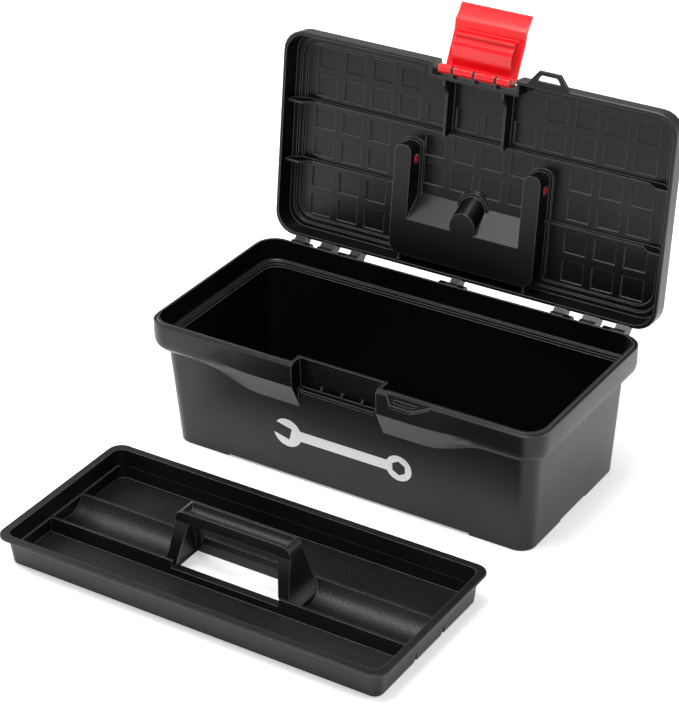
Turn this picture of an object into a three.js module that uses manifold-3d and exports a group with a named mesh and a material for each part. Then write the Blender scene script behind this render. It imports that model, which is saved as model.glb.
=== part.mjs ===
// A moulded plastic toolbox, open, with its lift-out tray standing on the floor in front of it.
// Millimetres, +Z up, X along the box, the front of the box towards -Y.
// The origin is on the floor, under the middle of the box.
import * as THREE from "three";
import { mergeVertices } from "three/addons/utils/BufferGeometryUtils.js";
import Module from "manifold-3d";

const wasm = await Module();
wasm.setup();

// ---------------------------------------------------------------- driving dimensions
const box_length = 400; // over the bin's rim
const box_width = 198;
const box_height = 129; // floor to the top of the rim's upstand
const corner_radius = 20; // at the rim
const corner_taper = 0.35; // how much the corner tightens for each millimetre inwards
const corner_steps = 6;
const wall = 2.4; // general wall of the bin and lid
const fit_gap = 0.4; // between pieces that meet
const edge_break = 0.8; // small chamfer on outer edges

// bin
const skirt_overhang = 10.2; // how far the skirt stands out from the body under it
const crease_z = box_height - 31; // where the skirt's underside meets the body
const skirt_face_z = box_height - 19; // where the skirt's face turns upright
const apron_dip = 17; // the skirt's front drops this much at the middle
const apron_flat_half = 85; // half the length of the dropped stretch
const apron_end_half = 150; // where the drop has run out
const base_inset = 16.2; // the floor is this much smaller than the rim, all round
const rim_shoulder_drop = 1.6; // the lid's edge sits on a shoulder this far below the upstand
const rim_upstand_inset = 3;
const rim_inner_inset = 4.6;
const ledge_z = box_height - 24.7; // the shelf that the tray hangs on
const ledge_inset = 12.4;
const ledge_step = 2.8; // a small step above the shelf
const floor_thickness = 2.4;
const floor_fillet = 3;
const foot_height = 2.4;
const foot_gap_half_x = 126; // the feet are outside this half length
const foot_gap_half_y = 23.5;

// latch notch in the bin's front
const notch_half = 43;
const notch_wall_y = 14.5 - box_width / 2; // outer face of the notch's back wall
const notch_floor_z = box_height - 28.8;
const catch_half = 37.5;
const catch_y = 5.5 - box_width / 2; // front edge of the catch lip
const catch_top_z = box_height - 26.8;
const catch_bottom_z = box_height - 29.6;
const notch_gussets_x = [-21, 0, 21];
const notch_gusset_height = 6.3;
const notch_gusset_depth = 3;
const notch_gusset_thickness = 1.6;

// padlock eyes, one on the bin and one on the lid
const eye_centre_x = 75;
const eye_root_half = 21;
const eye_tip_half = 10.5;
const eye_reach = 13;
const eye_thickness = 3;
const eye_frame = 3.6; // material in front of and behind the padlock slot
const eye_slot_half = 10.5;

// hinge
const hinge_y = box_width / 2 + 6.5;
const hinge_z = box_height - 8;
const hinge_pin_radius = 1.6;
const knuckle_radius = 4.2;
const knuckle_clearance = 0.5; // between neighbouring knuckles along the pin
const pin_clearance = 0.3; // round a pin
const end_group_centre_x = 139;
const end_group_half = 37;
const middle_group_half = 13.5;
const lid_open_angle = 98; // degrees, as the hinge stop holds it

// lid, described shut
const lid_overhang = 1; // past the bin's rim, all round
const lid_skirt_wall = 3.2;
const lid_step_1_z = box_height + 16; // first step of the border, seen from inside
const lid_step_2_z = box_height + 18.6;
const lid_panel_z = box_height + 21; // inner face of the top panel
const lid_step_1_inset = 9;
const lid_step_2_inset = 14;
const step_slope = 0.6;
const pad_columns = 12;
const pad_rows = 3; // pairs of rows, with a rib between the pairs
const pad_pitch_x = 30;
const pad_size_x = 21.5;
const pad_size_y = 20;
const pad_gap_y = 7.5; // between the two rows of a pair
const pad_pair_pitch_y = 58.8;
const pad_depth = 1.6; // the pads are sunk inside and raised outside
const rib_thickness = 1.8;
const rib_height = 5;
const rib_end_height = 15;
const rib_end_run = 16; // where the rib climbs over the border
const gusset_x = 30;
const gusset_height = 13;
const gusset_nose = 20; // how deep the gusset is where it meets the notch
const lid_notch_wall_y = 11.7 - box_width / 2; // outer face of the lid's notch wall

// carry handle and the U-shaped recess that holds it
const recess_half = 75.5; // outside of the recess arms, seen from inside the lid
const recess_arm = 17;
const recess_front_y = -15.5;
const recess_back_y = box_width / 2 - 9;
const recess_depth_z = box_height + 0.4; // how low the recess reaches into the box
const recess_slope_top_y = 34; // the finger slope in front of the grip
const recess_slope_foot_y = 55;
const recess_corner = 12;
const recess_collar = 3; // a low step round the recess, inside the lid
const recess_collar_height = 2.4;
const corner_rib_x = 66; // small ribs from the recess to the lid's back edge
const well_y = 49.5; // round finger well under the grip; it leans forwards as it rises
const well_lean = 13.5;
const well_radius = 13.2;
const well_collar_radius = 16.7;
const handle_pivot_y = -1;
const handle_pivot_z = box_height + 11.5;
const trunnion_radius = 3.2;
const trunnion_window_half = 4;
const handle_arm_width = recess_arm - 7;
const handle_arm_thickness = 9;
const grip_y = box_width / 2 - 25;
const grip_depth = 17;
const grip_height = 14;
const grip_hollow = 3; // the grip is a channel with this wall
const handle_corner = 11; // where the arms turn into the grip

// latch, described shut, measured from its pin
const latch_pin_y = 4.5 - box_width / 2;
const latch_pin_z = box_height + 2.5;
const latch_half = 36;
const latch_thickness = 2.6;
const latch_knuckle_radius = 4.2;
const latch_open_angle = 115; // degrees
const lug_x = [-22, 0, 22];
const lug_thickness = 2;
const lug_sweep_radius = 7.5; // the latch is cut away this far round the pin at each lug
const latch_hook_half = 30;
const latch_hook_crest = 1.8; // the hook's ramp comes out this far behind the pin
const latch_hook_top = -32.5; // the hook's toe reaches under the catch from here
const latch_hook_tip = 3.2;
const latch_fold_rib = 4.5; // a thin rib inside the latch, where its tip folds outwards

// tray
const tray_centre_x = -5.3; // standing on the floor in front of the box
const tray_centre_y = -239;
const tray_length = box_length - 14;
const tray_width = box_width - 23;
const tray_height = 29;
const tray_radius = 13;
const tray_flange = 5.5;
const tray_flange_thickness = 2.4;
const tray_base_inset = 9;
const tray_wall = 2;
const divider_y = 21.5;
const divider_z = 14;
const divider_top = 2.2;
const divider_root = 11; // over the two walls of a divider at the tray's floor
const groove_half = 2.8; // the gap between the compartments, seen from below
const groove_height = 10;
const groove_from_x = 64; // the gap runs from here to the ends
const trough_sag = 12;
const tray_hole_half_x = 54;
const tray_hole_half_y = 17;
const divider_cut_z = 8; // the front divider is lowered beside the hole
const tray_handle_top_z = 57;
const tray_handle_opening_z = 46.5;
const tray_handle_top_half = 57;
const tray_handle_shin_half = 61; // the legs' outside, just above the trough
const tray_handle_foot_half = 72; // where the legs run out into the trough
const tray_handle_inner_half = 45;
const tray_handle_grip_half = 9.5; // half its width along Y at the grip
const tray_handle_foot_half_y = 19.5;
const tray_handle_skin = 2.4;
const tray_handle_corner = 8;
const tray_grip_dish = 5.6; // the grip's top is dished this deep
const tray_grip_dish_half = 7.4;
const tray_grip_dish_length = 53;

// ---------------------------------------------------------------- materials
const finish = (name, colour, roughness, metalness = 0) => {
  const material = new THREE.MeshStandardMaterial({ color: colour, roughness, metalness });
  material.name = name;
  return material;
};
const black_plastic = finish("black_plastic", 0x1d1e20, 0.5);
const red_plastic = finish("red_plastic", 0xc4161c, 0.35);
const pin_steel = finish("pin_steel", 0xb9bcc0, 0.3, 1);

// ---------------------------------------------------------------- shaping helpers
function solid(geometry) {
  const bare = geometry.index ? geometry.toNonIndexed() : geometry.clone();
  bare.deleteAttribute("normal");
  bare.deleteAttribute("uv");
  const merged = mergeVertices(bare, 1e-4);
  return new wasm.Manifold(
    new wasm.Mesh({
      numProp: 3,
      vertProperties: merged.attributes.position.array,
      triVerts: new Uint32Array(merged.index.array),
    }),
  );
}

function piece(name, shape, material) {
  const made = shape.getMesh();
  const geometry = new THREE.BufferGeometry();
  geometry.setAttribute("position", new THREE.BufferAttribute(made.vertProperties, 3));
  geometry.setIndex(new THREE.BufferAttribute(made.triVerts, 1));
  geometry.computeVertexNormals();
  const mesh = new THREE.Mesh(geometry, material);
  mesh.name = name;
  return mesh;
}

const joined = (parts) => parts.reduce((sum, part) => sum.add(part));
const without = (body, cuts) => cuts.reduce((rest, cut) => rest.subtract(cut), body);
const lerp = THREE.MathUtils.lerp;

function block(x0, x1, y0, y1, z0, z1) {
  const box = new THREE.BoxGeometry(x1 - x0, y1 - y0, z1 - z0);
  box.translate((x0 + x1) / 2, (y0 + y1) / 2, (z0 + z1) / 2);
  return solid(box);
}

// An outline with its corners rounded by radius, or sharp when radius is 0.
function outline(points, radius = 0) {
  const corners = points.map(([x, y]) => new THREE.Vector2(x, y));
  if (radius === 0) return new THREE.Shape(corners);
  const shape = new THREE.Shape();
  corners.forEach((corner, i) => {
    const before = corners[(i + corners.length - 1) % corners.length];
    const after = corners[(i + 1) % corners.length];
    const reach = (end) => Math.min(radius, corner.distanceTo(end) * 0.49);
    const enter = corner.clone().add(before.clone().sub(corner).setLength(reach(before)));
    const leave = corner.clone().add(after.clone().sub(corner).setLength(reach(after)));
    if (i === 0) shape.moveTo(enter.x, enter.y);
    else shape.lineTo(enter.x, enter.y);
    shape.quadraticCurveTo(corner.x, corner.y, leave.x, leave.y);
  });
  shape.closePath();
  return shape;
}

function extruded(shape, depth, curveSegments = 4) {
  return new THREE.ExtrudeGeometry(shape, { depth, bevelEnabled: false, curveSegments });
}

// The outline is drawn in Y and Z and runs along X.
function along_x(points, x0, x1, radius = 0) {
  const geometry = extruded(outline(points, radius), x1 - x0);
  const turn = new THREE.Matrix4().makeBasis(
    new THREE.Vector3(0, 1, 0),
    new THREE.Vector3(0, 0, 1),
    new THREE.Vector3(1, 0, 0),
  );
  return solid(geometry.applyMatrix4(turn).translate(x0, 0, 0));
}

// The outline is drawn in X and Z and runs along Y.
function along_y(points, y0, y1, radius = 0) {
  const geometry = extruded(outline(points, radius), y1 - y0);
  return solid(geometry.rotateX(Math.PI / 2).translate(0, y1, 0));
}

// The outline is drawn in X and Y and runs along Z.
function along_z(points, z0, z1, radius = 0) {
  return solid(extruded(outline(points, radius), z1 - z0).translate(0, 0, z0));
}

function rod_x(y, z, radius, x0, x1, sides = 20) {
  const rod = new THREE.CylinderGeometry(radius, radius, x1 - x0, sides);
  return solid(rod.rotateZ(Math.PI / 2).translate((x0 + x1) / 2, y, z));
}

// One level of a rounded rectangular wall. The front side also has a point at each of front_x.
function ring(half_x, half_y, radius, front_x, place) {
  const centres = [
    [half_x - radius, half_y - radius],
    [radius - half_x, half_y - radius],
    [radius - half_x, radius - half_y],
    [half_x - radius, radius - half_y],
  ];
  const points = [];
  centres.forEach(([cx, cy], quarter) => {
    for (let step = 0; step <= corner_steps; step++) {
      const angle = (Math.PI / 2) * (quarter + step / corner_steps);
      points.push([cx + radius * Math.cos(angle), cy + radius * Math.sin(angle)]);
    }
    if (quarter === 2) front_x.forEach((x) => points.push([x, -half_y]));
  });
  return points.map(([x, y]) => new THREE.Vector3(...place(x, y)));
}

// A closed skin through the rings, with a flat cap on the first and on the last.
function loft(rings) {
  const count = rings[0].length;
  const positions = rings.flat().flatMap((point) => point.toArray());
  const middle = (points) =>
    points.reduce((sum, point) => sum.add(point), new THREE.Vector3()).divideScalar(count);
  const first_middle = rings.length * count;
  const last_middle = first_middle + 1;
  positions.push(...middle(rings[0]).toArray(), ...middle(rings.at(-1)).toArray());
  const faces = [];
  for (let level = 0; level < rings.length - 1; level++) {
    for (let i = 0; i < count; i++) {
      const next = (i + 1) % count;
      const [a, b] = [level * count + i, level * count + next];
      const [c, d] = [b + count, a + count];
      faces.push(a, b, c, a, c, d);
    }
  }
  const top = (rings.length - 1) * count;
  for (let i = 0; i < count; i++) {
    const next = (i + 1) % count;
    faces.push(next, i, first_middle, top + i, top + next, last_middle);
  }
  const geometry = new THREE.BufferGeometry();
  geometry.setAttribute("position", new THREE.Float32BufferAttribute(positions, 3));
  geometry.setIndex(faces);
  return solid(geometry);
}

// ---------------------------------------------------------------- bin
// The body's faces lean out as they rise; this is their inset from the rim at a height.
const body_inset = (z) => lerp(base_inset, skirt_overhang, z / crease_z);
const body_front_y = (z) => body_inset(z) - box_width / 2;

// How much of the front apron's dip applies at x: all of it in the middle, none near the ends.
function dip_share(x) {
  return 1 - THREE.MathUtils.smoothstep(Math.abs(x), apron_flat_half, apron_end_half);
}

const dip_points = 7;
const dip_x = [-1, 1].flatMap((side) =>
  Array.from({ length: dip_points }, (_, i) => {
    const share = side < 0 ? i / (dip_points - 1) : 1 - i / (dip_points - 1);
    return side * lerp(apron_end_half, apron_flat_half, share);
  }),
);

// A level of the bin's wall. On the front it drops by dip and draws in by pull where the apron is.
function bin_ring([inset, z, dip = 0, pull = 0]) {
  const place = (x, y) => {
    const share = y < 0 ? dip_share(x) : 0;
    return [x, y + pull * share, z - dip * share];
  };
  const radius = corner_radius - inset * corner_taper;
  return ring(box_length / 2 - inset, box_width / 2 - inset, radius, dip_x, place);
}

function bin_wall() {
  const shoulder_z = box_height - rim_shoulder_drop;
  const crease_pull = body_inset(crease_z - apron_dip) - skirt_overhang;
  const inner = (z) => body_inset(z) + wall;
  const ledge_pull = crease_pull + 0.2;
  const floor_z = foot_height + floor_thickness;
  return loft(
    [
      [base_inset + edge_break, 0],
      [base_inset, edge_break],
      [skirt_overhang, crease_z, apron_dip, crease_pull],
      [skirt_overhang * 0.42, crease_z + 2.4, apron_dip * 0.65, 3.4],
      [skirt_overhang * 0.12, crease_z + 6.5, apron_dip * 0.42, 2.6],
      [0, skirt_face_z, apron_dip * 0.25, 0],
      [0, shoulder_z - edge_break],
      [edge_break, shoulder_z],
      [rim_upstand_inset - 0.2, shoulder_z],
      [rim_upstand_inset, box_height],
      [rim_inner_inset, box_height],
      [rim_inner_inset + 0.5, ledge_z + ledge_step + 0.8, apron_dip * 0.25, 0.6],
      [rim_inner_inset + 1.3, ledge_z + ledge_step, apron_dip * 0.28, 0.6],
      [rim_inner_inset + 3.2, ledge_z + ledge_step - 0.2, apron_dip * 0.45, 0.7],
      [rim_inner_inset + 3.6, ledge_z + 0.2, apron_dip * 0.5, 0.8],
      [ledge_inset, ledge_z, apron_dip, ledge_pull],
      [inner(crease_z - 4), crease_z - 4, apron_dip, crease_pull],
      [inner(floor_z) + 0.2, floor_z + floor_fillet],
      [inner(floor_z) + floor_fillet, floor_z],
    ].map(bin_ring),
  );
}

// The notch's back wall, floor and cheeks, and the stretch of body wall under them.
function notch_box() {
  const low = crease_z - apron_dip - 3;
  const outside = 1.4; // kept inside the skirt's face
  const profile = [
    [rim_upstand_inset + 0.1 - box_width / 2, box_height],
    [rim_upstand_inset + 0.1 - box_width / 2, box_height - rim_shoulder_drop],
    [outside - box_width / 2, box_height - rim_shoulder_drop],
    [outside - box_width / 2, skirt_face_z - 3],
    [body_front_y(crease_z - apron_dip) + 0.5, crease_z - apron_dip + 1],
    [body_front_y(low) + 0.5, low],
    [body_front_y(low) + wall, low],
    [body_front_y(notch_floor_z) + wall, notch_floor_z - wall],
    [notch_wall_y + wall - 0.2, notch_floor_z - wall],
    [notch_wall_y + wall - 0.2, box_height],
  ];
  return along_x(profile, -notch_half - wall, notch_half + wall);
}

function notch_cut() {
  const front = -box_width;
  const low = crease_z - apron_dip - 4;
  const profile = [
    [front, low],
    [body_front_y(low), low],
    [body_front_y(notch_floor_z), notch_floor_z],
    [notch_wall_y, notch_floor_z],
    [notch_wall_y, box_height + 5],
    [front, box_height + 5],
  ];
  return along_x(profile, -notch_half, notch_half);
}

function catch_lip() {
  const root = body_front_y(notch_floor_z) + 1;
  const profile = [
    [root, catch_bottom_z - 1.5],
    [root, catch_top_z],
    [catch_y, catch_top_z],
    [catch_y, catch_bottom_z],
    [body_front_y(catch_bottom_z) - 0.5, catch_bottom_z],
    [body_front_y(catch_bottom_z), catch_bottom_z - 1.5],
  ];
  return along_x(profile, -catch_half, catch_half);
}

function notch_gusset(x) {
  const root = notch_wall_y + 0.5;
  const profile = [
    [root, notch_floor_z - 0.5],
    [root, notch_floor_z + notch_gusset_height],
    [notch_wall_y - notch_gusset_depth, notch_floor_z],
    [notch_wall_y - notch_gusset_depth, notch_floor_z - 0.5],
  ];
  return along_x(profile, x - notch_gusset_thickness / 2, x + notch_gusset_thickness / 2);
}

// The flat ear that a padlock goes through. root_y is inside the wall it grows from.
function padlock_eye(face_y, z0) {
  const tip_y = face_y - eye_reach;
  const rim = [
    [eye_centre_x - eye_root_half, face_y + 1.5],
    [eye_centre_x - eye_root_half, face_y],
    [eye_centre_x - eye_tip_half, tip_y],
    [eye_centre_x + eye_tip_half, tip_y],
    [eye_centre_x + eye_root_half, face_y],
    [eye_centre_x + eye_root_half, face_y + 1.5],
  ];
  const slot_back = face_y - eye_frame;
  const slot_front = tip_y + eye_frame;
  const back_half = eye_slot_half + 1.5;
  const front_half = eye_slot_half - 2.5;
  const slot = [
    [eye_centre_x - back_half, slot_back],
    [eye_centre_x - front_half, slot_front],
    [eye_centre_x + front_half, slot_front],
    [eye_centre_x + back_half, slot_back],
  ];
  return {
    ear: along_z(rim, z0, z0 + eye_thickness),
    slot: along_z(slot, z0 - 1, z0 + eye_thickness + 1, 2),
  };
}

// Knuckles along a hinge: [from, to] in X for the bin and for the lid, at one group's centre.
function end_group(centre) {
  const spans = { bin: [[-24.5, -15.5], [15.5, 24.5]], lid: [[-37, -25], [-8, 8], [25, 37]] };
  const moved = (list) => list.map(([a, b]) => [centre + a, centre + b]);
  return { bin: moved(spans.bin), lid: moved(spans.lid) };
}
const middle_group = {
  bin: [[-middle_group_half, -5.5], [5.5, middle_group_half]],
  lid: [[knuckle_clearance - 5.5, 5.5 - knuckle_clearance]],
};
const hinge_groups = [end_group(-end_group_centre_x), middle_group, end_group(end_group_centre_x)];

function bin_knuckle([x0, x1]) {
  const back = box_width / 2;
  const arm = [
    [back - 1, hinge_z - knuckle_radius - 6],
    [back - 1, hinge_z + knuckle_radius],
    [hinge_y, hinge_z + knuckle_radius],
    [hinge_y, hinge_z - knuckle_radius],
  ];
  return along_x(arm, x0, x1).add(rod_x(hinge_y, hinge_z, knuckle_radius, x0, x1));
}

const hinge_bore = () =>
  rod_x(hinge_y, hinge_z, hinge_pin_radius + pin_clearance, -box_length, box_length, 16);

function make_bin() {
  const eye = padlock_eye(-box_width / 2, box_height - rim_shoulder_drop - eye_thickness);
  const far = box_length;
  const foot_cuts = [
    block(-foot_gap_half_x, foot_gap_half_x, -far, far, -1, foot_height),
    block(-far, far, -foot_gap_half_y, foot_gap_half_y, -1, foot_height),
  ];
  const walls = bin_wall().add(notch_box());
  const cut = without(walls, [notch_cut(), ...foot_cuts]);
  const added = joined([
    cut,
    catch_lip(),
    ...notch_gussets_x.map(notch_gusset),
    eye.ear,
    ...hinge_groups.flatMap((group) => group.bin.map(bin_knuckle)),
  ]);
  return piece("bin", without(added, [eye.slot, hinge_bore()]), black_plastic);
}

// ---------------------------------------------------------------- lid
const lid_rim_z = box_height - rim_shoulder_drop + fit_gap;

function lid_ring([inset, z]) {
  const half_x = box_length / 2 + lid_overhang - inset;
  const half_y = box_width / 2 + lid_overhang - inset;
  const place = (x, y) => [x, y, z];
  return ring(half_x, half_y, corner_radius + lid_overhang - inset * corner_taper, [], place);
}

function lid_outside_rings() {
  const top = (z) => z + wall;
  const outer_step_1 = lid_step_1_inset - step_slope - 1;
  const outer_step_2 = lid_step_2_inset - step_slope - 1;
  return [
    [edge_break, lid_rim_z],
    [0, lid_rim_z + edge_break],
    [0.4, lid_step_1_z - 2],
    [1.6, top(lid_step_1_z) - 1.2],
    [4, top(lid_step_1_z)],
    [outer_step_1, top(lid_step_1_z)],
    [outer_step_1 + step_slope, top(lid_step_2_z)],
    [outer_step_2, top(lid_step_2_z)],
    [outer_step_2 + step_slope, top(lid_panel_z)],
  ].map(lid_ring);
}

function lid_shell() {
  const inside = [
    [lid_step_2_inset + step_slope, lid_panel_z],
    [lid_step_2_inset, lid_step_2_z],
    [lid_step_1_inset + step_slope, lid_step_2_z],
    [lid_step_1_inset, lid_step_1_z],
    [lid_skirt_wall + 1.4, lid_step_1_z],
    [lid_skirt_wall, lid_rim_z],
  ].map(lid_ring);
  return loft([...inside, ...lid_outside_rings()]);
}

// Centres of the square pads: rows come in pairs with a rib between the pairs.
function pad_centres() {
  const centres = [];
  for (let column = 0; column < pad_columns; column++) {
    const x = (column - (pad_columns - 1) / 2) * pad_pitch_x;
    for (let pair = 0; pair < pad_rows; pair++) {
      const middle = (pair - (pad_rows - 1) / 2) * pad_pair_pitch_y;
      const off = (pad_size_y + pad_gap_y) / 2;
      centres.push([x, middle - off], [x, middle + off]);
    }
  }
  return centres;
}

// Pads that the handle recess or the latch notch would run into are left out.
function pad_is_clear([x, y]) {
  const reach_x = Math.abs(x) - pad_size_x / 2;
  const in_recess = reach_x < recess_half + 1 && y + pad_size_y / 2 > recess_front_y - 4;
  const inside_u = Math.abs(x) + pad_size_x / 2 < recess_half - recess_arm - 1;
  const above_slope = y + pad_size_y / 2 < recess_slope_top_y - 2;
  const in_notch = reach_x < notch_half + wall + 1 && y - pad_size_y / 2 < lid_notch_wall_y + 8;
  return !in_notch && (!in_recess || (inside_u && above_slope));
}

function pad_block([x, y], shrink, z0, z1) {
  const [half_x, half_y] = [pad_size_x / 2 - shrink, pad_size_y / 2 - shrink];
  return block(x - half_x, x + half_x, y - half_y, y + half_y, z0, z1);
}

const pad_pocket = (place) => pad_block(place, 0, lid_panel_z - 1, lid_panel_z + pad_depth);

function raised_pad(place) {
  const top = lid_panel_z + wall;
  return pad_block(place, 0, top - 0.5, top + pad_depth - 0.4);
}

// A thin rib across the lid that deepens where it climbs over the stepped border.
function cross_rib(y, x0, x1) {
  const end = box_length / 2 + lid_overhang - lid_skirt_wall + 0.8;
  const low = (x) => (Math.abs(x) > end - rib_end_run ? rib_end_height : rib_height);
  const knee = end - rib_end_run - (rib_end_height - rib_height);
  const stations = [-end, -end + rib_end_run, -knee, knee, end - rib_end_run, end];
  const kept = [x0, ...stations.filter((x) => x > x0 && x < x1), x1];
  const depth = (x) => {
    const past = THREE.MathUtils.clamp((Math.abs(x) - knee) / (end - rib_end_run - knee), 0, 1);
    return lerp(rib_height, low(end), past);
  };
  const under = kept.map((x) => [x, lid_panel_z - depth(x)]);
  const profile = [...under, [x1, lid_panel_z + 0.5], [x0, lid_panel_z + 0.5]];
  return along_y(profile, y - rib_thickness / 2, y + rib_thickness / 2);
}

function lid_ribs() {
  const y = pad_pair_pitch_y / 2;
  const end = box_length / 2 + lid_overhang - lid_skirt_wall + 0.8;
  const inner = recess_half - 2;
  const ribs = [cross_rib(-y, -end, end), cross_rib(y, -end, -inner), cross_rib(y, inner, end)];
  const inside_the_lid = loft(lid_outside_rings());
  return ribs.map((rib) => rib.intersect(inside_the_lid));
}

// Deep stiffener from the latch notch back to the first cross rib.
function notch_stiffener(x) {
  const front = lid_notch_wall_y + wall - 1;
  const nose = front + gusset_nose / 3;
  const profile = [
    [front, lid_panel_z + 0.5],
    [front, box_height + fit_gap + 0.6],
    [nose, box_height + fit_gap + 0.6],
    [nose + 4, lid_panel_z - gusset_height - 4],
    [nose + 9, lid_panel_z - gusset_height],
    [-pad_pair_pitch_y / 2, lid_panel_z - gusset_height],
    [-pad_pair_pitch_y / 2, lid_panel_z + 0.5],
  ];
  return along_x(profile, x - 1, x + 1);
}

function lid_notch_box() {
  const front = 1.2 - box_width / 2;
  const profile = [
    [front, box_height + fit_gap],
    [lid_notch_wall_y + wall, box_height + fit_gap],
    [lid_notch_wall_y + wall, lid_panel_z + wall],
    [front + 12, lid_panel_z + wall],
    [front + 4, lid_step_1_z + wall],
    [front, lid_step_1_z],
  ];
  return along_x(profile, -notch_half - wall, notch_half + wall);
}

const lid_notch_cut = () =>
  block(-notch_half, notch_half, -box_width, lid_notch_wall_y, box_height - 10, lid_panel_z + 20);

// A lug that carries the latch pin, standing forward from the notch wall.
function pin_lug(x) {
  const arm = [
    [lid_notch_wall_y + 1, box_height + fit_gap],
    [lid_notch_wall_y + 1, latch_pin_z + 6],
    [lid_notch_wall_y, latch_pin_z + 6],
    [latch_pin_y + 1, latch_pin_z + 3.4],
    [latch_pin_y, latch_pin_z - 3.3],
    [latch_pin_y + 3, lid_rim_z + 0.6],
  ];
  const [x0, x1] = [x - lug_thickness / 2, x + lug_thickness / 2];
  return along_x(arm, x0, x1).add(rod_x(latch_pin_y, latch_pin_z, 3.6, x0, x1));
}

function lid_knuckle([x0, x1]) {
  const back = box_width / 2 + lid_overhang;
  const arm = [
    [back - 1.5, lid_rim_z + 0.4],
    [hinge_y - 1, hinge_z],
    [hinge_y + knuckle_radius - 0.3, hinge_z + 1],
    [hinge_y + knuckle_radius - 0.6, lid_rim_z + 3],
    [back - 0.5, lid_rim_z + 11],
    [back - 1.5, lid_rim_z + 11],
  ];
  return along_x(arm, x0, x1).add(rod_x(hinge_y, hinge_z, knuckle_radius, x0, x1));
}

// The recess is a U: two arms with round tips, and a bar across their back ends.
function recess_u(grow, z_low, z_high) {
  const arm_outer = recess_half + grow;
  const arm_inner = recess_half - recess_arm - grow;
  const front = recess_front_y - grow;
  const back = recess_back_y + grow;
  const foot = recess_slope_foot_y - grow;
  const arm = (side) => {
    const points = [
      [side * arm_inner, back - recess_corner],
      [side * arm_inner, front],
      [side * arm_outer, front],
      [side * arm_outer, back - recess_corner],
    ];
    return along_z(points, z_low, z_high, (arm_outer - arm_inner) / 2 - 0.6);
  };
  const bar = [
    [-arm_outer, foot],
    [arm_outer, foot],
    [arm_outer, back],
    [-arm_outer, back],
  ];
  return joined([arm(-1), arm(1), along_z(bar, z_low, z_high, recess_corner + grow)]);
}

// The finger slope between the arms, in front of the bar.
function recess_slope(grow, z_low, z_high) {
  const foot = recess_slope_foot_y - grow;
  const half = recess_half - recess_arm - grow + 1;
  const lean = (recess_slope_foot_y - recess_slope_top_y) / (lid_panel_z - recess_depth_z);
  const slope = [
    [foot, z_low],
    [foot - lean * (z_high - z_low), z_high],
    [foot + 3, z_high],
    [foot + 3, z_low],
  ];
  return along_x(slope, -half, half);
}

// A round pillar that leans forwards as it rises from z0 to z1.
function leaning_pillar(radius, z0, z1) {
  const centre = (z) => well_y - (well_lean * (z - recess_depth_z)) / (lid_panel_z - recess_depth_z);
  const circle = (z) =>
    Array.from({ length: 28 }, (_, i) => {
      const angle = (i / 28) * Math.PI * 2;
      return new THREE.Vector3(radius * Math.cos(angle), centre(z) + radius * Math.sin(angle), z);
    });
  return loft([circle(z0), circle(z1)]);
}

function corner_rib(side) {
  const back = box_width / 2 + lid_overhang - lid_skirt_wall + 0.5;
  const start = recess_back_y - 1;
  const profile = [
    [start, lid_step_1_z + 0.5],
    [start, lid_rim_z + 6],
    [back, lid_rim_z + 4],
    [back, lid_step_1_z + 0.5],
  ];
  return along_x(profile, side * corner_rib_x - 1, side * corner_rib_x + 1);
}

function trunnion_windows() {
  const h = trunnion_window_half;
  return [-1, 1].map((side) => {
    const middle = side * (recess_half - recess_arm / 2);
    const reach = recess_arm / 2 + 1;
    const [y, z] = [handle_pivot_y, handle_pivot_z];
    return block(middle - reach, middle + reach, y - h, y + h, z - h, z + h);
  });
}

// What stands inward from the panel to make room for the folded handle, and its outer hollow.
function handle_recess() {
  const above = lid_panel_z + wall + 15;
  const solid_top = lid_panel_z + 0.5;
  const floor_z = recess_depth_z + wall;
  const collar_z = lid_panel_z - recess_collar_height;
  const bulge = joined([
    recess_u(0, recess_depth_z, solid_top),
    recess_u(recess_collar, collar_z, solid_top),
    recess_slope(0, recess_depth_z, solid_top),
    leaning_pillar(well_radius, recess_depth_z, solid_top),
    leaning_pillar(well_collar_radius, collar_z, solid_top),
  ]);
  const hollow = joined([
    recess_u(-wall, floor_z, above),
    recess_slope(-wall, floor_z, above),
    leaning_pillar(well_radius - wall, floor_z, above),
  ]);
  return { bulge, hollow };
}

function make_lid() {
  const eye = padlock_eye(-box_width / 2 - lid_overhang, lid_rim_z);
  const recess = handle_recess();
  const pads = pad_centres().filter(pad_is_clear);
  const panel = joined([lid_shell(), ...pads.map(raised_pad)]);
  const shell = without(panel, pads.map(pad_pocket));
  const body = joined([shell, recess.bulge, lid_notch_box()]);
  const opened = without(body, [recess.hollow, lid_notch_cut(), ...trunnion_windows()]);
  const added = joined([
    opened,
    ...lid_ribs(),
    notch_stiffener(-gusset_x),
    notch_stiffener(gusset_x),
    corner_rib(-1),
    corner_rib(1),
    ...lug_x.map(pin_lug),
    eye.ear,
    ...hinge_groups.flatMap((group) => group.lid.map(lid_knuckle)),
  ]);
  const bore_half = latch_half + 2;
  const bore_radius = hinge_pin_radius + pin_clearance;
  const pin_bore = rod_x(latch_pin_y, latch_pin_z, bore_radius, -bore_half, bore_half, 16);
  return piece("lid", without(added, [eye.slot, hinge_bore(), pin_bore]), black_plastic);
}

// ---------------------------------------------------------------- hinge and latch pins
function make_pin(name, y, z, x0, x1) {
  return piece(name, rod_x(y, z, hinge_pin_radius, x0, x1, 16), pin_steel);
}

function hinge_pin(name, centre_x, half) {
  return make_pin(name, hinge_y, hinge_z, centre_x - half, centre_x + half);
}

const hinge_pins = () => [
  hinge_pin("hinge_pin_left", -end_group_centre_x, end_group_half),
  hinge_pin("hinge_pin_centre", 0, middle_group_half),
  hinge_pin("hinge_pin_right", end_group_centre_x, end_group_half),
];

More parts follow.
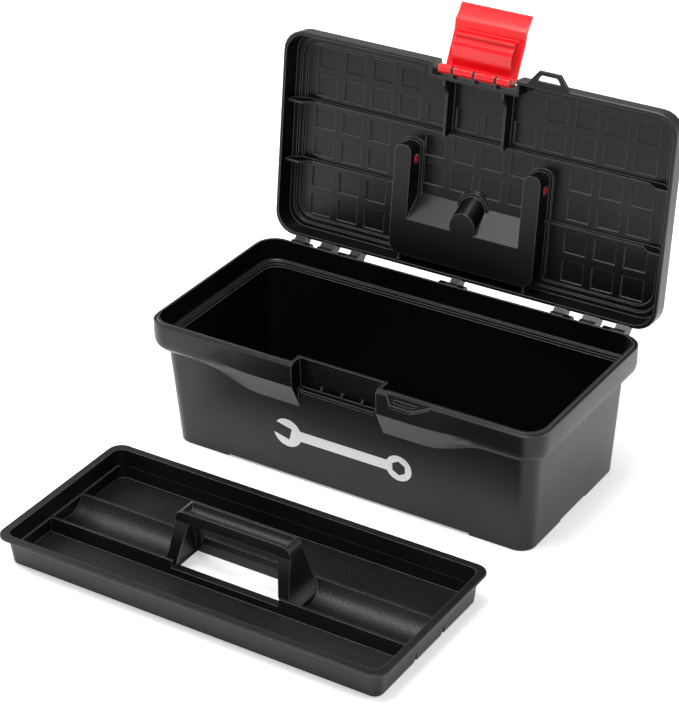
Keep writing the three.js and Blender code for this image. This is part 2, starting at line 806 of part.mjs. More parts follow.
// ---------------------------------------------------------------- latch
// Its section, shut, measured from the pin: down the outside, then back up the inside.
function latch_section() {
  const t = latch_thickness;
  const outside = [
    [-6, 2.6], [-10.4, 0.4], [-11.4, -4], [-10.4, -14], [-9.4, -26],
    [-8.6, -38], [-5.4, -46], [-6, -52], [-7.4, -63],
  ];
  const inside = [
    [-7.4 + t, -63], [-6 + t, -52.5], [-1.8, -46.4], [-5.6, -37.6],
    [-9.4 + t, -26], [-10.4 + t, -14], [-11.4 + t, -5], [-4, -1],
  ];
  return [...outside, ...inside];
}

// The hook: a smooth ramp, a groove that holds the catch, and a toe under it.
function latch_hook() {
  const groove = catch_y - latch_pin_y - 0.6;
  const groove_top = catch_top_z - latch_pin_z + 0.5;
  const profile = [
    [-9, -6],
    [-9, -36],
    [-7.4, -40],
    [-1, latch_hook_top - 3.4],
    [latch_hook_tip, latch_hook_top - 1.6],
    [latch_hook_tip, latch_hook_top],
    [groove, latch_hook_top],
    [groove, groove_top],
    [latch_hook_crest, groove_top + 2.6],
    [latch_hook_crest - 0.4, groove_top + 6.4],
    [-1.6, groove_top + 11.6],
    [-5, groove_top + 17.4],
  ];
  return along_x(profile, -latch_hook_half, latch_hook_half);
}

function latch_fold() {
  const profile = [
    [-6, -45],
    [-6, -47.4],
    [latch_fold_rib - 6.4, -47],
    [latch_fold_rib - 6.4, -45.8],
  ];
  return along_x(profile, -latch_half, latch_half);
}

function make_latch() {
  const flap = along_x(latch_section(), -latch_half, latch_half);
  const knuckles = rod_x(0, 0, latch_knuckle_radius, -latch_half, latch_half);
  const lug_cuts = lug_x.map((x) => {
    const half = lug_thickness / 2 + knuckle_clearance;
    return rod_x(0, 0, lug_sweep_radius, x - half, x + half);
  });
  const bore = rod_x(0, 0, hinge_pin_radius + pin_clearance, -latch_half - 1, latch_half + 1, 16);
  const shape = joined([flap, latch_hook(), latch_fold(), knuckles]);
  return piece("latch", without(shape, [...lug_cuts, bore]), red_plastic);
}

// ---------------------------------------------------------------- carry handle
function make_carry_handle() {
  const middle = recess_half - recess_arm / 2;
  const half = handle_arm_width / 2;
  const t = handle_arm_thickness / 2;
  const [py, pz] = [handle_pivot_y, handle_pivot_z];
  const arm = (side) => {
    const profile = [
      [py - t - 1, pz - t],
      [grip_y, pz - t],
      [grip_y, pz + t],
      [py - t - 1, pz + t],
    ];
    return along_x(profile, side * middle - half, side * middle + half, t - 0.4);
  };
  const trunnion = (side) =>
    rod_x(py, pz, trunnion_radius, side * middle - recess_arm / 2, side * middle + recess_arm / 2, 16);
  const section = (inset) => [
    [grip_y - grip_depth / 2 + inset, pz - grip_height / 2 + inset],
    [grip_y + grip_depth / 2 - inset, pz - grip_height / 2 + inset],
    [grip_y + grip_depth / 2 - inset, pz + grip_height / 2 + inset * 4],
    [grip_y - grip_depth / 2 + inset, pz + grip_height / 2 + inset * 4],
  ];
  const grip = along_x(section(0), -middle - half, middle + half, 5);
  const hollow = along_x(section(grip_hollow), grip_hollow - middle + half, middle - half - grip_hollow, 3);
  const [outer, back] = [middle + half, grip_y + grip_depth / 2];
  const plan = [[-outer, -outer], [outer, -outer], [outer, back], [-outer, back]];
  const bail = joined([arm(-1), arm(1), grip]).intersect(along_z(plan, 0, pz * 2, handle_corner));
  return piece("carry_handle", joined([bail, trunnion(-1), trunnion(1)]).subtract(hollow), red_plastic);
}

// ---------------------------------------------------------------- tray
function tray_ring([inset, z]) {
  const place = (x, y) => [x, y, z];
  const radius = Math.max(tray_radius - inset * 0.6, 3);
  return ring(tray_length / 2 - inset, tray_width / 2 - inset, radius, [], place);
}

// The tray's inner face leans in as it goes down.
const tray_inner = (z) => lerp(tray_base_inset + tray_wall, tray_flange + tray_wall, z / tray_height);

function tray_outside() {
  const under_flange = tray_height - tray_flange_thickness;
  return loft(
    [
      [tray_base_inset + 1, 0],
      [tray_base_inset, 1],
      [tray_flange + 0.3, under_flange],
      [0.5, under_flange],
      [0, under_flange + 0.6],
      [0, tray_height - 0.6],
      [0.6, tray_height],
    ].map(tray_ring),
  );
}

function tray_hollow() {
  return loft(
    [
      [tray_inner(divider_z), divider_z],
      [tray_inner(tray_height), tray_height],
      [tray_inner(tray_height) - 0.4, tray_height + 1],
    ].map(tray_ring),
  );
}

// The room inside the walls, with their rounded corners, from the floor to the dividers' tops.
function tray_room() {
  const top = divider_z + 1;
  return loft(
    [
      [tray_inner(tray_wall), tray_wall],
      [tray_inner(top), top],
    ].map(tray_ring),
  );
}

// One flat-bottomed side compartment, below the dividers' tops. side is -1 in front, 1 behind.
function side_compartment(side) {
  const end = tray_length / 2 - tray_inner(tray_wall);
  const near = (z) => divider_y + lerp(divider_root, divider_top, z / divider_z) / 2;
  const far = (z) => tray_width / 2 - tray_inner(z);
  const profile = [
    [side * near(tray_wall), tray_wall],
    [side * far(tray_wall), tray_wall],
    [side * far(divider_z), divider_z + 0.5],
    [side * near(divider_z), divider_z + 0.5],
  ];
  return along_x(profile, -end, end).intersect(tray_room());
}

// Points of a hanging arc in Y and Z: its ends are at rim_z and it sags below them.
function hanging_arc(half, sag, rim_z, steps) {
  const radius = (half * half + sag * sag) / (2 * sag);
  const centre_z = rim_z - sag + radius;
  const swing = Math.asin(Math.min(1, half / radius));
  return Array.from({ length: steps + 1 }, (_, i) => {
    const angle = lerp(-swing, swing, i / steps);
    return [radius * Math.sin(angle), centre_z - radius * Math.cos(angle)];
  });
}

// The middle compartment is a round-bottomed trough.
function trough() {
  const half = divider_y - divider_top / 2;
  const end = tray_length / 2 - tray_inner(tray_wall);
  const arc = hanging_arc(half, trough_sag, divider_z, 12);
  return along_x([...arc, [half, divider_z + 0.5], [-half, divider_z + 0.5]], -end, end);
}

// The gap under a divider that shows the compartments as separate bottoms at the tray's ends.
function divider_groove(side_y, side_x) {
  const y = side_y * divider_y;
  const profile = [
    [y - groove_half, -1],
    [y + groove_half, -1],
    [y + 0.6, groove_height],
    [y - 0.6, groove_height],
  ];
  const [x0, x1] = [groove_from_x, tray_length / 2 - tray_flange - 0.5];
  return side_x > 0 ? along_x(profile, x0, x1) : along_x(profile, -x1, -x0);
}

// Half the arch's width along Y: narrow at the grip, wider at the feet.
function handle_half_y(z) {
  const share = THREE.MathUtils.clamp((z - divider_z) / (tray_handle_opening_z - divider_z), 0, 1);
  return lerp(tray_handle_foot_half_y, tray_handle_grip_half, share);
}

// An arch outline in X and Z, cut to the width that the handle has at each height.
function arch(outline_xz, inset, z_low, z_high) {
  const levels = [z_low, divider_z, tray_handle_opening_z, z_high];
  const right = levels.map((z) => [handle_half_y(z) - inset, z]);
  const left = levels.map((z) => [inset - handle_half_y(z), z]).reverse();
  const across = along_x([...right, ...left], -tray_length, tray_length);
  return along_y(outline_xz, -tray_width, tray_width, tray_handle_corner - inset).intersect(across);
}

function handle_outside() {
  const [foot_z, shin_z, top] = [tray_wall + 1, divider_z, tray_handle_top_z];
  const right = [
    [tray_handle_foot_half, foot_z],
    [tray_handle_shin_half, shin_z],
    [tray_handle_top_half, top],
  ];
  const left = right.map(([x, z]) => [-x, z]).reverse();
  return arch([...right, ...left], 0, foot_z, top + 1);
}

// The legs and the grip are hollow from below.
function handle_inside() {
  const web = tray_handle_top_z - tray_grip_dish - tray_handle_skin;
  const foot = tray_handle_shin_half - tray_handle_skin;
  const top = tray_handle_top_half - tray_handle_skin;
  return arch([[foot, -1], [top, web], [-top, web], [-foot, -1]], tray_handle_skin, -1, web + 1);
}

function grip_dish() {
  const [half, rim] = [tray_grip_dish_half, tray_handle_top_z];
  const arc = hanging_arc(half, tray_grip_dish, rim, 10);
  const length = tray_grip_dish_length;
  const bottom = rim - tray_grip_dish - 1;
  const lengthwise = [
    [-length, rim + 2],
    [4 - length, bottom],
    [length - 4, bottom],
    [length, rim + 2],
  ];
  return along_x([...arc, [half, rim + 1], [-half, rim + 1]], -length, length).intersect(
    along_y(lengthwise, -half - 1, half + 1, 3),
  );
}

// The opening that fingers go through, and the hole under it.
function hand_hole() {
  const opening = [
    [-tray_hole_half_x, -1],
    [tray_hole_half_x, -1],
    [tray_handle_inner_half, tray_handle_opening_z],
    [-tray_handle_inner_half, tray_handle_opening_z],
  ];
  const clear = along_y(opening, -tray_width, tray_width, 4);
  const below = block(-tray_hole_half_x, tray_hole_half_x, -tray_hole_half_y, tray_hole_half_y, -1, divider_z);
  return { clear, below };
}

function make_tray() {
  const hole = hand_hole();
  const hollows = [tray_hollow(), side_compartment(-1), side_compartment(1), trough()];
  const pan = without(tray_outside(), hollows);
  const inside = handle_inside();
  const legs = without(handle_outside(), [inside, hole.clear, grip_dish()]);
  const lowered = block(-tray_hole_half_x, tray_hole_half_x, -divider_y - 3, 0, divider_cut_z, divider_z + 1);
  const grooves = [-1, 1].flatMap((side_y) => [-1, 1].map((side_x) => divider_groove(side_y, side_x)));
  const whole = without(pan, [hole.below, inside, lowered]).add(legs);
  return piece("tray", without(whole, grooves), black_plastic);
}

// ---------------------------------------------------------------- assembly
// A group that turns about a line along X through (y, z); what it holds is placed as if shut.
function turned_about(y, z, degrees, members) {
  const pivot = new THREE.Group();
  pivot.position.set(0, y, z);
  pivot.rotation.x = THREE.MathUtils.degToRad(-degrees);
  const shut = new THREE.Group();
  shut.position.set(0, -y, -z);
  shut.add(...members);
  pivot.add(shut);
  return pivot;
}

const latch = new THREE.Group();
latch.position.set(0, latch_pin_y, latch_pin_z);
latch.rotation.x = THREE.MathUtils.degToRad(-latch_open_angle);
latch.add(make_latch());

const pin_half = latch_half + 1;
const latch_pin = make_pin("latch_pin", latch_pin_y, latch_pin_z, -pin_half, pin_half);
const lid_group = turned_about(hinge_y, hinge_z, lid_open_angle, [
  make_lid(),
  make_carry_handle(),
  latch_pin,
  latch,
]);

const tray = make_tray();
tray.position.set(tray_centre_x, tray_centre_y, 0);

const toolbox = new THREE.Group();
toolbox.add(make_bin(), ...hinge_pins(), lid_group, tray);
export default toolbox;
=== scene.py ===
# %% [markdown]
# # A plastic toolbox with a lift-out tray
#
# The toolbox is moulded in black polypropylene: a deep bin, a lid on a rear hinge, a red
# latch and a red carry handle. Its tray stands on the floor in front of it. The packed
# model gives every piece its size and place, so the first step loads it.

# %% Load the model
import math

import bpy
from mathutils import Matrix, Vector


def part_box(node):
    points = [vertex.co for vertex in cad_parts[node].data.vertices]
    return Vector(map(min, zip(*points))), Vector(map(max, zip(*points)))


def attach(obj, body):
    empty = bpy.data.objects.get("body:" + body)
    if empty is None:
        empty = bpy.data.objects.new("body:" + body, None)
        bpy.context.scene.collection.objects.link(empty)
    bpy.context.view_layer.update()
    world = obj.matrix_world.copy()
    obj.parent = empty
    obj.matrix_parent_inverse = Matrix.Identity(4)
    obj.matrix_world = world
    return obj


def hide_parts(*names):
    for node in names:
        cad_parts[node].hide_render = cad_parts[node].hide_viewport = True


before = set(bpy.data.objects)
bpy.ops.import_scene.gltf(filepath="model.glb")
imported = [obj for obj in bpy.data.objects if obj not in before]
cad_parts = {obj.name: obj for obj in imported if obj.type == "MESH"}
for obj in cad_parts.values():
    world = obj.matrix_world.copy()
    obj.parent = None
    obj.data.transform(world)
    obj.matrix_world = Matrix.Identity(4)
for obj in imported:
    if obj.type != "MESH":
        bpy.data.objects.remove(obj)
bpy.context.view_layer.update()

# %% [markdown]
# The camera looks down on the box from its front right. It stands well back with a long
# lens, so that the sides of the box stay nearly parallel.

# %% Camera
CAMERA_PLACE = Vector((0.9882, -1.6136, 1.1906))
CAMERA_YAW = 0.5746  # radians, turned left of straight ahead
CAMERA_PITCH = 0.5206  # radians, tipped down
CAMERA_ROLL = -0.0198
SENSOR_WIDTH = 36.0
CAMERA_LENS = 129.881  # millimetres

camera_data = bpy.data.cameras.new("camera")
camera_data.sensor_fit = "HORIZONTAL"
camera_data.sensor_width = SENSOR_WIDTH
camera_data.lens = CAMERA_LENS
camera = bpy.data.objects.new("camera", camera_data)
camera.matrix_world = (
    Matrix.Translation(CAMERA_PLACE)
    @ Matrix.Rotation(CAMERA_YAW, 4, "Z")
    @ Matrix.Rotation(math.pi / 2 - CAMERA_PITCH, 4, "X")
    @ Matrix.Rotation(CAMERA_ROLL, 4, "Z")
)
bpy.context.scene.collection.objects.link(camera)
bpy.context.scene.camera = camera
bpy.context.scene.view_settings.view_transform = "Standard"
print("camera lens:", round(camera_data.lens, 1), "mm")

# %% [markdown]
# Black plastic shows its shape only by what it reflects. So the light is an even surround
# over a pale floor that glows a little, which keeps the shadows on the floor soft.

# %% Surround and floor
FLOOR_SIZE = 14.0
FLOOR_WHITE = (0.93, 0.93, 0.93, 1.0)
FLOOR_ROUGHNESS = 0.8
FLOOR_GLOW = 0.4  # lifts the shadows on the floor
SURROUND_STRENGTH = 0.45

world = bpy.data.worlds.new("surround")
bpy.context.scene.world = world
world.use_nodes = True
surround = world.node_tree.nodes["Background"]
surround.inputs["Color"].default_value = (1.0, 1.0, 1.0, 1.0)
surround.inputs["Strength"].default_value = SURROUND_STRENGTH


def deselect_all():
    """Nothing stays selected, so the next operator acts only on the new piece."""
    if bpy.context.object and bpy.context.object.mode != "OBJECT":
        bpy.ops.object.mode_set(mode="OBJECT")
    bpy.ops.object.select_all(action="DESELECT")


deselect_all()
bpy.ops.mesh.primitive_plane_add(size=FLOOR_SIZE, location=(0.0, 0.0, 0.0))
floor = bpy.context.object
floor.name = "floor"
floor_paint = bpy.data.materials.new("floor_paint")
floor_paint.use_nodes = True
floor_shader = floor_paint.node_tree.nodes["Principled BSDF"]
floor_shader.inputs["Base Color"].default_value = FLOOR_WHITE
floor_shader.inputs["Roughness"].default_value = FLOOR_ROUGHNESS
floor_shader.inputs["Emission Color"].default_value = FLOOR_WHITE
floor_shader.inputs["Emission Strength"].default_value = FLOOR_GLOW
floor.data.materials.append(floor_paint)
print("floor side:", FLOOR_SIZE, "m")

# %% [markdown]
# Four soft panels add the highlights: a strong one overhead for the rims, the ledge and the
# floor of the tray, one on each side behind the box for its long edges, and a weak one in
# front. The overhead one stands forward of the box, because the open lid shades what is
# behind it.

# %% Light panels
LIGHT_AIM = Vector((0.0, -0.08, 0.1))
LIGHT_PANELS = {  # name: (place, width, depth, watts)
    "overhead_panel": ((-0.3, -0.5, 2.5), 1.4, 1.0, 60.0),
    "left_panel": ((-2.4, 0.3, 1.5), 1.2, 1.8, 42.0),
    "right_panel": ((2.2, 1.2, 1.6), 1.2, 1.6, 26.0),
    "front_panel": ((0.2, -2.6, 1.2), 2.2, 0.8, 7.0),
}


def add_panel(name, place, width, depth, watts):
    data = bpy.data.lights.new(name, "AREA")
    data.shape = "RECTANGLE"
    data.size, data.size_y = width, depth
    data.energy = watts
    panel = bpy.data.objects.new(name, data)
    panel.location = place
    panel.rotation_euler = (LIGHT_AIM - Vector(place)).to_track_quat("-Z", "Y").to_euler()
    bpy.context.scene.collection.objects.link(panel)


for panel_name, panel_values in LIGHT_PANELS.items():
    add_panel(panel_name, *panel_values)
print("light panels:", len(LIGHT_PANELS))

# %% [markdown]
# Moulded plastic is never one flat colour. The mould leaves a fine leathery grain, the
# plastic varies a little in shade as it flows, and its edges get scuffed; the lighter colour
# along the edges is partly that wear and partly a painted highlight. Several materials
# share these effects, so each is a small node group placed with its own values.

# %% Helpers for node groups
def new_group(name, inputs, outputs):
    """A shader node group with float inputs {name: default} and outputs {name: type}."""
    group = bpy.data.node_groups.new(name, "ShaderNodeTree")
    for label, default in inputs.items():
        socket = group.interface.new_socket(label, in_out="INPUT", socket_type="NodeSocketFloat")
        socket.default_value = default
    for label, kind in outputs.items():
        group.interface.new_socket(label, in_out="OUTPUT", socket_type=kind)
    entry = group.nodes.new("NodeGroupInput")
    leave = group.nodes.new("NodeGroupOutput")
    return group, entry, leave


def add_math(tree, operation, first, second):
    """A Math node; each of first and second is a socket or a number."""
    node = tree.nodes.new("ShaderNodeMath")
    node.operation = operation
    for slot, value in zip(node.inputs, (first, second)):
        if isinstance(value, (int, float)):
            slot.default_value = value
        else:
            tree.links.new(value, slot)
    return node.outputs[0]


def object_coordinates(tree):
    return tree.nodes.new("ShaderNodeTexCoord").outputs["Object"]


# %% [markdown]
# The grain is a fine soft noise. One output gives its height and the other marks where it
# changes the shine.

# %% Moulding grain
def make_grain_group():
    """Height and gloss marks of a spark-eroded mould: tiny soft cells at a given size."""
    group, entry, leave = new_group(
        "moulding_grain",
        {"Cells per metre": 2600.0, "Softness": 0.5},
        {"Height": "NodeSocketFloat", "Mask": "NodeSocketFloat"},
    )
    place = object_coordinates(group)
    cells = group.nodes.new("ShaderNodeTexNoise")
    cells.inputs["Detail"].default_value = 3.0
    group.links.new(place, cells.inputs["Vector"])
    group.links.new(entry.outputs["Cells per metre"], cells.inputs["Scale"])
    group.links.new(entry.outputs["Softness"], cells.inputs["Roughness"])
    group.links.new(cells.outputs["Fac"], leave.inputs["Height"])
    group.links.new(cells.outputs["Fac"], leave.inputs["Mask"])
    return group


grain_group = make_grain_group()


# %% [markdown]
# Broad patches, a few to the width of the box, shift the shade and the shine a little.

# %% Flow marks
def make_flow_group():
    """Broad soft patches, 0 to 1, where the plastic flowed unevenly."""
    group, entry, leave = new_group(
        "plastic_flow",
        {"Patches per metre": 9.0},
        {"Patches": "NodeSocketFloat"},
    )
    place = object_coordinates(group)
    noise = group.nodes.new("ShaderNodeTexNoise")
    noise.inputs["Detail"].default_value = 4.0
    group.links.new(place, noise.inputs["Vector"])
    group.links.new(entry.outputs["Patches per metre"], noise.inputs["Scale"])
    spread = group.nodes.new("ShaderNodeMapRange")
    spread.inputs["From Min"].default_value = 0.35
    spread.inputs["From Max"].default_value = 0.65
    group.links.new(noise.outputs["Fac"], spread.inputs["Value"])
    group.links.new(spread.outputs["Result"], leave.inputs["Patches"])
    return group


flow_group = make_flow_group()


# %% [markdown]
# Every edge gets a narrow rounded normal. The mask is how far that normal leans away from
# the plain one, so it is strongest on the edge itself. It lightens the colour there, partly
# as wear and partly as a painted highlight.

# %% Worn edges and painted edge highlights
def make_edge_group():
    """Mask of the narrow band along every edge, and the rounded normal that goes with it."""
    group, entry, leave = new_group(
        "worn_and_highlit_edges",
        {"Radius": 0.0006, "Spread": 5.0},
        {"Mask": "NodeSocketFloat", "Normal": "NodeSocketVector"},
    )
    rounded = group.nodes.new("ShaderNodeBevel")
    rounded.samples = 8
    group.links.new(entry.outputs["Radius"], rounded.inputs["Radius"])
    surface = group.nodes.new("ShaderNodeNewGeometry")
    lean = group.nodes.new("ShaderNodeVectorMath")
    lean.operation = "DOT_PRODUCT"
    group.links.new(rounded.outputs["Normal"], lean.inputs[0])
    group.links.new(surface.outputs["Normal"], lean.inputs[1])
    gap = add_math(group, "SUBTRACT", 1.0, lean.outputs["Value"])
    scaled = add_math(group, "MULTIPLY", gap, entry.outputs["Spread"])
    scaled.node.use_clamp = True
    group.links.new(scaled, leave.inputs["Mask"])
    group.links.new(rounded.outputs["Normal"], leave.inputs["Normal"])
    return group


edge_group = make_edge_group()


# %% [markdown]
# All the plastics are built by one function. Their shade comes from the flow patches and
# the edges, which are lightened partly as wear and partly as a painted highlight, their shine
# from the grain and the patches, and their relief from the grain.

# %% Plastic material
FLOW_PATCHES = 9.0  # per metre
EDGE_SPREAD = 9.0
GRAIN_IN_SHINE, FLOW_IN_SHINE = 0.6, 0.4
PLASTIC_IOR = 1.49


def place_group(tree, group, **values):
    node = tree.nodes.new("ShaderNodeGroup")
    node.node_tree = group
    for label, value in values.items():
        node.inputs[label.replace("_", " ")].default_value = value
    return node


def mix_colours(tree, mask, low, high):
    mix = tree.nodes.new("ShaderNodeMix")
    mix.data_type = "RGBA"
    mix.inputs["A"].default_value = (*low, 1.0)
    mix.inputs["B"].default_value = (*high, 1.0)
    tree.links.new(mask, mix.inputs["Factor"])
    return mix.outputs["Result"]


def make_plastic(name, dark, light, edge_wear_and_highlight, gloss, grain_size, grain_depth, edge_radius, sheen):
    """gloss is the (lowest, highest) roughness; grain_size is cells per metre; the edge colour
    is part wear and part painted highlight.
    """
    material = bpy.data.materials.new(name)
    material.use_nodes = True
    tree = material.node_tree
    shader = tree.nodes["Principled BSDF"]
    grain = place_group(tree, grain_group, Cells_per_metre=grain_size, Softness=0.55)
    flow = place_group(tree, flow_group, Patches_per_metre=FLOW_PATCHES)
    edges = place_group(tree, edge_group, Radius=edge_radius, Spread=EDGE_SPREAD)
    plain = mix_colours(tree, flow.outputs["Patches"], dark, light)
    # Edges mix towards a lighter colour: partly wear, partly a painted highlight.
    edge_tinted = mix_colours(tree, edges.outputs["Mask"], dark, edge_wear_and_highlight)
    tree.links.new(plain, edge_tinted.node.inputs["A"])
    tree.links.new(edge_tinted, shader.inputs["Base Color"])
    shine = tree.nodes.new("ShaderNodeMapRange")
    shine.inputs["To Min"].default_value, shine.inputs["To Max"].default_value = gloss
    coarse = add_math(tree, "MULTIPLY", grain.outputs["Mask"], GRAIN_IN_SHINE)
    mixed = add_math(tree, "MULTIPLY_ADD", flow.outputs["Patches"], FLOW_IN_SHINE)
    tree.links.new(coarse, mixed.node.inputs[2])
    smoother = add_math(tree, "SUBTRACT", mixed, edges.outputs["Mask"])
    tree.links.new(smoother, shine.inputs["Value"])
    tree.links.new(shine.outputs["Result"], shader.inputs["Roughness"])
    bump = tree.nodes.new("ShaderNodeBump")
    bump.inputs["Strength"].default_value = 1.0
    bump.inputs["Distance"].default_value = grain_depth
    tree.links.new(grain.outputs["Height"], bump.inputs["Height"])
    tree.links.new(edges.outputs["Normal"], bump.inputs["Normal"])
    tree.links.new(bump.outputs["Normal"], shader.inputs["Normal"])
    shader.inputs["IOR"].default_value = PLASTIC_IOR
    shader.inputs["Specular IOR Level"].default_value = sheen
    return material


# The third colour of each plastic lightens its edges: partly wear, partly a painted highlight.
box_black = make_plastic(
    "box_black", (0.0018, 0.0018, 0.002), (0.003, 0.003, 0.0032), (0.13, 0.13, 0.133),
    (0.2, 0.4), 1500.0, 0.00006, 0.0008, 0.3,
)
tray_black = make_plastic(
    "tray_black", (0.0022, 0.0022, 0.0024), (0.0038, 0.0038, 0.004), (0.1, 0.1, 0.103),
    (0.28, 0.5), 750.0, 0.0003, 0.0007, 0.34,
)
handle_red = make_plastic(
    "handle_red", (0.62, 0.004, 0.007), (0.76, 0.008, 0.012), (0.85, 0.06, 0.06),
    (0.14, 0.3), 1800.0, 0.00002, 0.0014, 0.5,
)
print("plastics:", box_black.name, tray_black.name, handle_red.name)


# %% [markdown]
# The pins are drawn rod, with fine lines along their length.

# %% Pin steel
def make_steel():
    """Drawn rod: fine lines along X and a slightly uneven shine."""
    material = bpy.data.materials.new("drawn_steel")
    material.use_nodes = True
    tree = material.node_tree
    shader = tree.nodes["Principled BSDF"]
    shader.inputs["Metallic"].default_value = 1.0
    stretch = tree.nodes.new("ShaderNodeMapping")
    stretch.inputs["Scale"].default_value = (40.0, 4000.0, 4000.0)
    tree.links.new(object_coordinates(tree), stretch.inputs["Vector"])
    lines = tree.nodes.new("ShaderNodeTexNoise")
    lines.inputs["Scale"].default_value = 1.0
    tree.links.new(stretch.outputs["Vector"], lines.inputs["Vector"])
    tree.links.new(
        mix_colours(tree, lines.outputs["Fac"], (0.42, 0.43, 0.44), (0.6, 0.61, 0.62)),
        shader.inputs["Base Color"],
    )
    shine = tree.nodes.new("ShaderNodeMapRange")
    shine.inputs["To Min"].default_value = 0.22
    shine.inputs["To Max"].default_value = 0.42
    tree.links.new(lines.outputs["Fac"], shine.inputs["Value"])
    tree.links.new(shine.outputs["Result"], shader.inputs["Roughness"])
    return material


pin_steel = make_steel()
print("metal:", pin_steel.name)

# %% [markdown]
# The model's mouldings arrive as loose flat triangles. A real moulding has corners that
# flow into its faces, so each one is copied, its points are joined, and it is shaded
# smooth wherever two faces meet at less than a small angle. The narrow radius that the
# mould maker's cutter leaves on every edge is in the plastic's own material.

# %% Smooth copies of the mouldings
SHARP_ANGLE = math.radians(17)
WELD_DISTANCE = 0.00002


def smooth_moulding(node, body, slot, material):
    """A copy of a model node with joined points, smooth round its corners."""
    deselect_all()
    source = bpy.data.objects[node]
    piece = bpy.data.objects.new(node + "_moulding", source.data.copy())
    bpy.context.scene.collection.objects.link(piece)
    piece.select_set(True)
    bpy.context.view_layer.objects.active = piece
    bpy.ops.mesh.customdata_custom_splitnormals_clear()
    bpy.ops.object.mode_set(mode="EDIT")
    bpy.ops.mesh.select_all(action="SELECT")
    bpy.ops.mesh.remove_doubles(threshold=WELD_DISTANCE)
    bpy.ops.object.mode_set(mode="OBJECT")
    bpy.ops.object.shade_smooth_by_angle(angle=SHARP_ANGLE)
    piece.data.materials.clear()
    piece.data.materials.append(material)
    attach(piece, body)
    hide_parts(node)
    print(piece.name, "faces:", len(piece.data.polygons))
    return piece


MOULDINGS = (  # node, body, slot, material
    ("bin", "box", "black_plastic", box_black),
    ("lid", "lid", "black_plastic", box_black),
    ("tray", "tray", "black_plastic", tray_black),
    ("latch", "latch", "red_plastic", handle_red),
    ("carry_handle", "carry_handle", "red_plastic", handle_red),
)
mouldings = {row[0]: smooth_moulding(*row) for row in MOULDINGS}

# %% [markdown]
# The front of the bin carries one white printed picture, a double-ended spanner. It is cut
# flat from thin discs and bars, then stood up against the bin's leaning front. The bin's
# box gives its place along the front and its height, and a straight line run back from
# there to the moulding gives the depth and the lean of the wall that the ink lies on.

# %% Screen print material
def make_print_white():
    """Opaque ink with tiny pinholes, slightly thinner in places."""
    material = bpy.data.materials.new("print_white")
    material.use_nodes = True
    tree = material.node_tree
    shader = tree.nodes["Principled BSDF"]
    grain = place_group(tree, grain_group, Cells_per_metre=1800.0, Softness=0.6)
    tree.links.new(
        mix_colours(tree, grain.outputs["Mask"], (0.7, 0.7, 0.69), (0.9, 0.9, 0.89)),
        shader.inputs["Base Color"],
    )
    shader.inputs["Roughness"].default_value = 0.45
    return material


print_white = make_print_white()
print("ink:", print_white.name)

# %% [markdown]
# The picture is cut out first, lying flat, and then laid on the bin's wall.

# %% Spanner print
INK_THICKNESS = 0.0003
INK_STANDOFF = 0.0001  # how far the ink's middle stands off the bin's front
PRINT_HEIGHT_SHARE = 0.372  # of the bin's height
SHANK_LENGTH, SHANK_WIDTH = 0.104, 0.0105
HEAD_X = 0.0575
OPEN_HEAD_RADIUS, RING_HEAD_RADIUS = 0.0145, 0.0130
JAW_WIDTH, JAW_DEPTH, JAW_TURN = 0.0125, 0.022, math.radians(15)
JAW_OUT, JAW_UP = 0.0075, 0.0018  # from the middle of the open head
HEAD_SIDES, RING_HOLE_SIDES = 48, 6
CUTTER_THICKNESS = INK_THICKNESS * 3
RING_HOLE_RADIUS = 0.0074


def flat_disc(radius, x, sides, thickness):
    deselect_all()
    bpy.ops.mesh.primitive_cylinder_add(
        vertices=sides, radius=radius, depth=thickness, location=(x, 0.0, 0.0)
    )
    return bpy.context.object


def flat_bar(length, width, place, turn, thickness):
    deselect_all()
    bpy.ops.mesh.primitive_cube_add(size=1.0, location=place, rotation=(0.0, 0.0, turn))
    bar = bpy.context.object
    bar.scale = (length, width, thickness)
    bpy.ops.object.transform_apply(location=False, rotation=True, scale=True)
    return bar


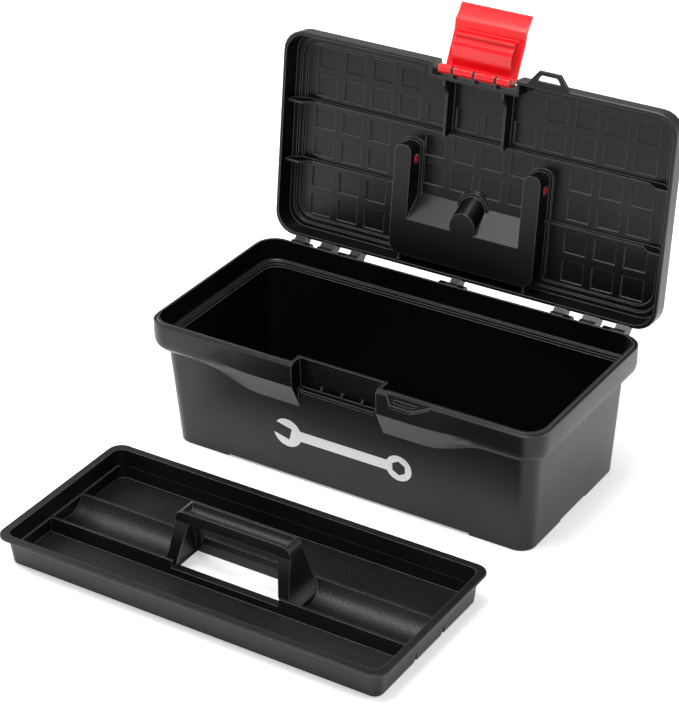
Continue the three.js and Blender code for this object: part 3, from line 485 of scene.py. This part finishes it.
def combine(base, other, operation):
    """Join other to base, or cut it away, and remove it."""
    deselect_all()
    base.select_set(True)
    bpy.context.view_layer.objects.active = base
    step = base.modifiers.new("combine", "BOOLEAN")
    step.operation = operation
    step.object = other
    bpy.ops.object.modifier_apply(modifier=step.name)
    bpy.data.objects.remove(other)


spanner_print = flat_bar(SHANK_LENGTH, SHANK_WIDTH, (0.0, 0.0, 0.0), 0.0, INK_THICKNESS)
spanner_print.name = "spanner_print"
combine(spanner_print, flat_disc(OPEN_HEAD_RADIUS, -HEAD_X, HEAD_SIDES, INK_THICKNESS), "UNION")
combine(spanner_print, flat_disc(RING_HEAD_RADIUS, HEAD_X, HEAD_SIDES, INK_THICKNESS), "UNION")
jaw_place = (-HEAD_X - JAW_OUT, JAW_UP, 0.0)
jaw = flat_bar(JAW_DEPTH, JAW_WIDTH, jaw_place, -JAW_TURN, CUTTER_THICKNESS)
combine(spanner_print, jaw, "DIFFERENCE")
ring_hole = flat_disc(RING_HOLE_RADIUS, HEAD_X, RING_HOLE_SIDES, CUTTER_THICKNESS)
combine(spanner_print, ring_hole, "DIFFERENCE")
bin_low, bin_high = (Vector(corner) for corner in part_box("bin"))
start = Vector((
    (bin_low.x + bin_high.x) / 2,
    bin_low.y * 2,
    bin_low.z + (bin_high.z - bin_low.z) * PRINT_HEIGHT_SHARE,
))
found, wall_place, wall_normal, _ = mouldings["bin"].ray_cast(start, Vector((0.0, 1.0, 0.0)))
assert found, "no wall behind the print"
spanner_print.rotation_euler = wall_normal.to_track_quat("Z", "Y").to_euler()
spanner_print.location = wall_place + wall_normal * INK_STANDOFF
print("wall at", [round(v, 5) for v in wall_place])
print("wall faces", [round(v, 4) for v in wall_normal])
deselect_all()
spanner_print.select_set(True)
bpy.context.view_layer.objects.active = spanner_print
bpy.ops.object.transform_apply(location=True, rotation=True, scale=True)
spanner_print.data.materials.append(print_white)
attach(spanner_print, "box")
print(spanner_print.name, "faces:", len(spanner_print.data.polygons))

# %% [markdown]
# The four pins stay as the model has them and only take their steel.

# %% Pins
for pin_name in ("latch_pin", "hinge_pin_left", "hinge_pin_centre", "hinge_pin_right"):
    pin = bpy.data.objects[pin_name]
    pin.data.materials.clear()
    pin.data.materials.append(pin_steel)
print("pins finished")
